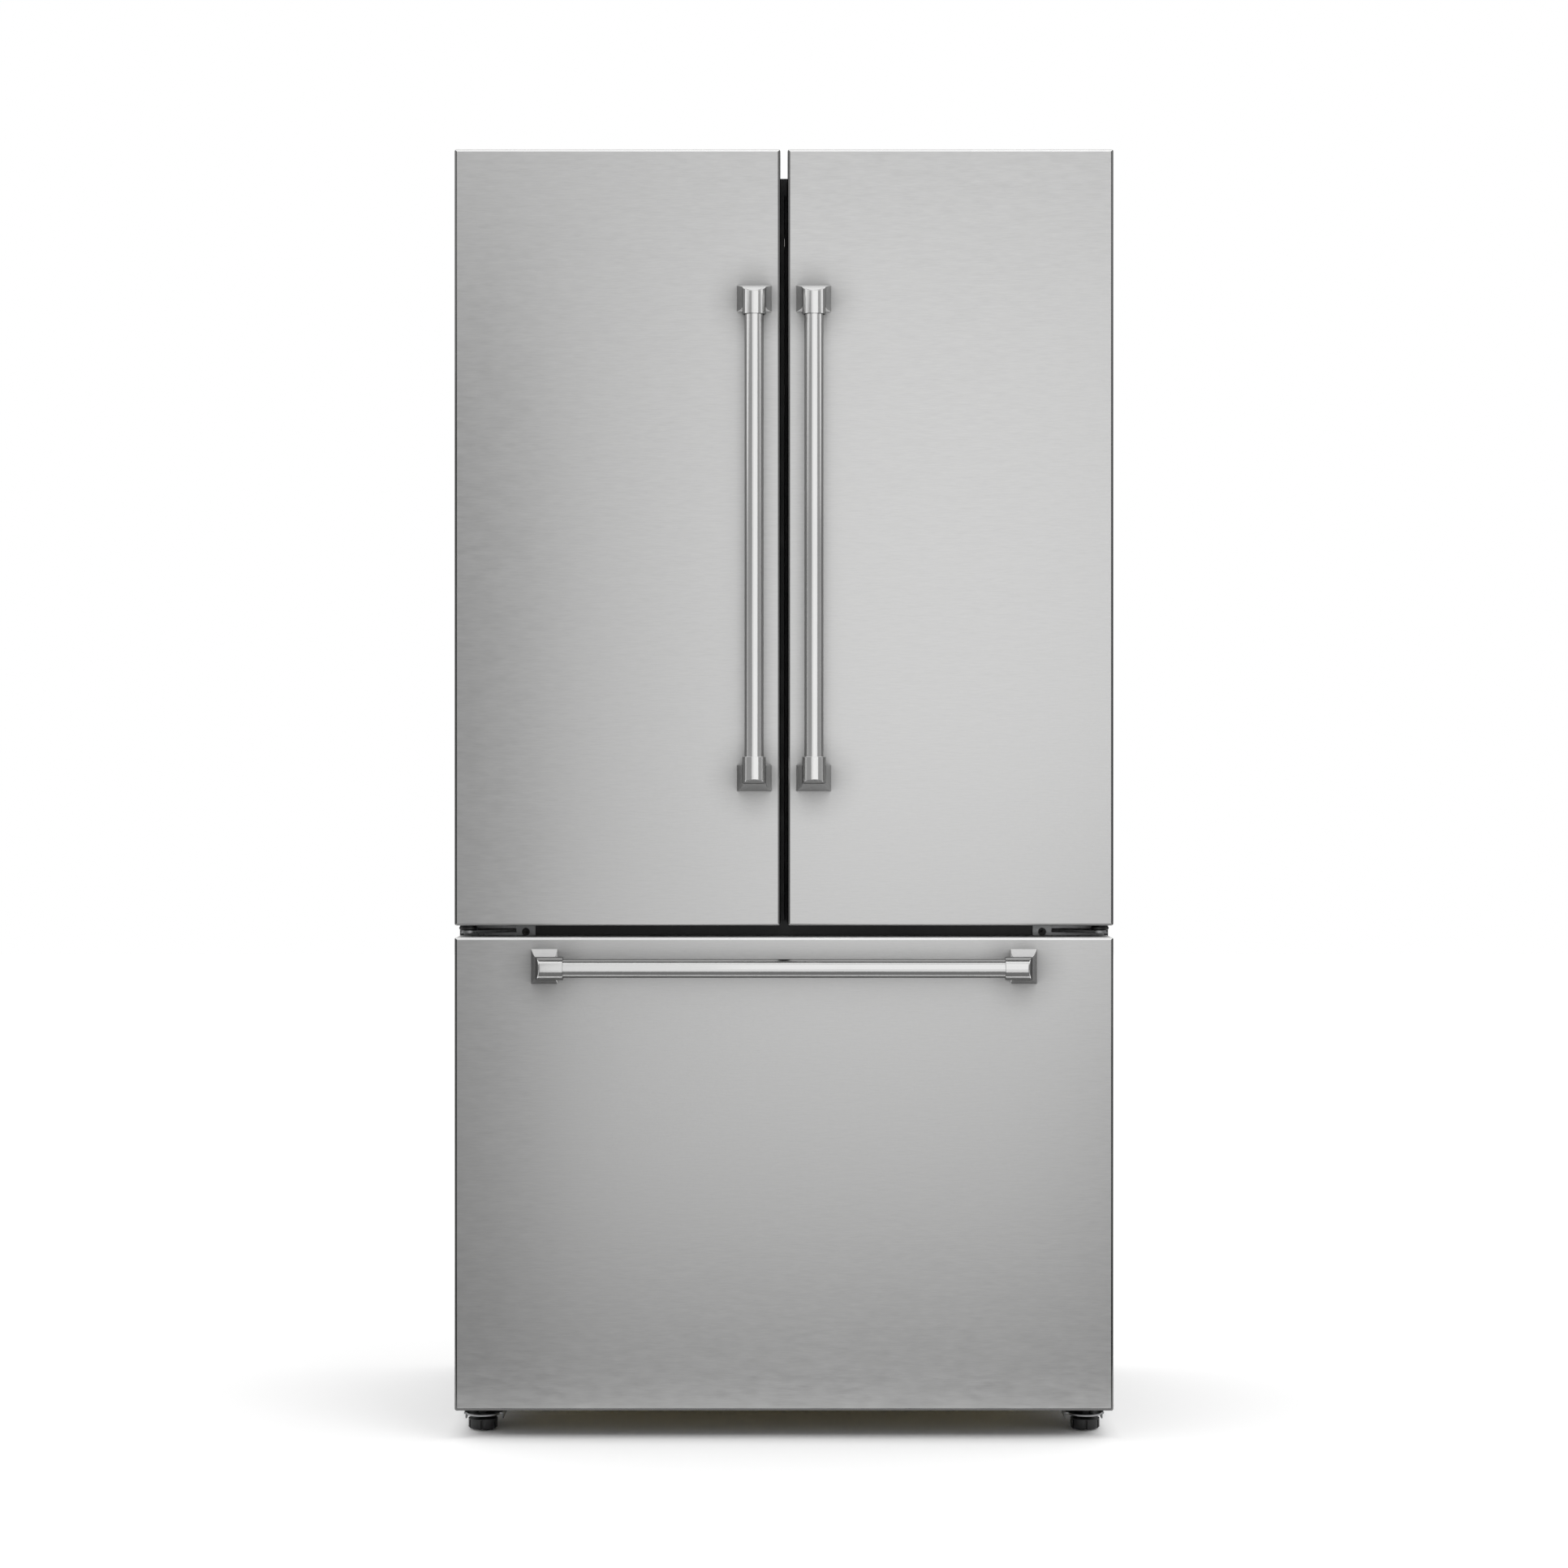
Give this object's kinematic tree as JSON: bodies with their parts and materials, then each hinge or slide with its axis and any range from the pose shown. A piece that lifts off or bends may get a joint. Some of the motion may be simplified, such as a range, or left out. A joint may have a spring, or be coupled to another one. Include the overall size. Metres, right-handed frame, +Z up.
{
  "type": "french door refrigerator",
  "caption": "Free-standing stainless steel refrigerator with side-hinged upper doors, tubular post handles and a pull-out freezer drawer below.",
  "frame": {"origin": "on the floor under the middle of the whole object, handles included", "axes": "+Z up, front of the doors towards -Y, +X to the right seen from the front"},
  "size_m": [0.905, 0.7662, 1.777],
  "materials": {
    "stainless": "satin",
    "handle_steel": "satin",
    "cabinet_paint": "satin",
    "rear_steel": "matte",
    "frame_steel": "matte",
    "zinc": "satin",
    "liner_white": "satin",
    "trim_white": "satin",
    "panel_grey": "satin",
    "clear_plastic": "gloss",
    "shelf_glass": "polished",
    "gasket": "matte",
    "black_plastic": "matte",
    "slider_grey": "matte",
    "foam": "matte",
    "coil_black": "matte",
    "coil_aluminium": "satin",
    "compressor_black": "satin",
    "motor_grey": "satin",
    "track_steel": "satin",
    "rail_zinc": "satin"
  },
  "bodies": {
    "cabinet": {"cabinet_shell": "cabinet_paint", "back_panel": "rear_steel", "insulation": "foam", "fresh_food_liner": "liner_white", "freezer_liner": "liner_white", "mid_rail": "cabinet_paint", "base_frame": "frame_steel", "compressor": "compressor_black", "condenser": "coil_black", "fan_motors": "motor_grey", "rear_cover": "rear_steel", "evaporator": "coil_aluminium", "evaporator_cover": "liner_white", "control_panel": "panel_grey", "shelf_tracks": "track_steel", "shelf_glass": "shelf_glass", "shelf_frames": "trim_white", "crisper_cover": "trim_white", "crispers": "clear_plastic", "hinge_plates": "zinc", "hinge_covers": "black_plastic", "hinge_screws": "black_plastic", "outer_rails": "rail_zinc", "roller_brackets": "zinc", "power_inlet": "black_plastic"},
    "left_door": {"left_door_skin": "stainless", "left_door_foam": "foam", "left_door_liner": "liner_white", "left_door_gasket": "gasket", "left_hinge_blocks": "black_plastic", "left_handle_bar": "handle_steel", "left_handle_posts": "handle_steel", "left_door_bins": "clear_plastic"},
    "right_door": {"right_door_skin": "stainless", "right_door_foam": "foam", "right_door_liner": "liner_white", "right_door_gasket": "gasket", "right_hinge_blocks": "black_plastic", "right_handle_bar": "handle_steel", "right_handle_posts": "handle_steel", "right_door_bins": "clear_plastic"},
    "mullion_flap": {"mullion_flap": "black_plastic", "mullion_block": "black_plastic"},
    "freezer_drawer": {"drawer_skin": "stainless", "drawer_foam": "foam", "drawer_liner": "liner_white", "drawer_gasket": "gasket", "drawer_handle_bar": "handle_steel", "drawer_handle_posts": "handle_steel", "freezer_basket": "clear_plastic", "inner_rails": "rail_zinc"},
    "middle_rails": {"middle_rails": "rail_zinc"},
    "condenser_fan": {"condenser_fan": "black_plastic"},
    "evaporator_fan": {"evaporator_fan": "black_plastic"},
    "left_humidity_slider": {"left_humidity_slider": "slider_grey"},
    "right_humidity_slider": {"right_humidity_slider": "slider_grey"},
    "left_foot": {"left_foot": "black_plastic"},
    "right_foot": {"right_foot": "black_plastic"},
    "front_rollers": {"front_rollers": "black_plastic"},
    "rear_rollers": {"rear_rollers": "black_plastic"}
  },
  "joints": [
    {"name": "left_door_hinge", "type": "hinge", "parent": "cabinet", "child": "left_door", "pos_m": [-0.4365, -0.275, 1.2], "axis": [0, 0, -1], "range_deg": [0, 120]},
    {"name": "right_door_hinge", "type": "hinge", "parent": "cabinet", "child": "right_door", "pos_m": [0.4365, -0.275, 1.2], "axis": [0, 0, 1], "range_deg": [0, 120]},
    {"name": "mullion_fold", "type": "hinge", "parent": "left_door", "child": "mullion_flap", "pos_m": [-0.032, -0.2239, 1.2], "axis": [0, 0, 1], "range_deg": [0, 90]},
    {"name": "drawer_slide", "type": "slide", "parent": "cabinet", "child": "freezer_drawer", "axis": [0, -1, 0], "range_m": [0, 0.43]},
    {"name": "rail_slide", "type": "slide", "parent": "cabinet", "child": "middle_rails", "axis": [0, -1, 0], "range_m": [0, 0.215]},
    {"name": "left_humidity_slide", "type": "slide", "parent": "cabinet", "child": "left_humidity_slider", "axis": [1, 0, 0], "range_m": [0, 0.06]},
    {"name": "right_humidity_slide", "type": "slide", "parent": "cabinet", "child": "right_humidity_slider", "axis": [1, 0, 0], "range_m": [0, 0.06]},
    {"name": "left_foot_turn", "type": "hinge", "parent": "cabinet", "child": "left_foot", "pos_m": [-0.423, -0.1899, 0.02], "axis": [0, 0, 1], "continuous": true},
    {"name": "right_foot_turn", "type": "hinge", "parent": "cabinet", "child": "right_foot", "pos_m": [0.423, -0.1899, 0.02], "axis": [0, 0, 1], "continuous": true},
    {"name": "front_rollers_turn", "type": "hinge", "parent": "cabinet", "child": "front_rollers", "pos_m": [0, -0.1319, 0.021], "axis": [1, 0, 0], "continuous": true},
    {"name": "rear_rollers_turn", "type": "hinge", "parent": "cabinet", "child": "rear_rollers", "pos_m": [0, 0.3331, 0.019], "axis": [1, 0, 0], "continuous": true},
    {"name": "condenser_fan_turn", "type": "hinge", "parent": "cabinet", "child": "condenser_fan", "pos_m": [-0.056, 0.262, 0.18], "axis": [1, 0, 0], "continuous": true},
    {"name": "evaporator_fan_turn", "type": "hinge", "parent": "cabinet", "child": "evaporator_fan", "pos_m": [0, 0.283, 0.58], "axis": [0, 1, 0], "continuous": true}
  ],
  "couplings": [
    {"joint": "mullion_fold", "follows": "left_door_hinge", "ratio": 0.75},
    {"joint": "rail_slide", "follows": "drawer_slide", "ratio": 0.5}
  ]
}
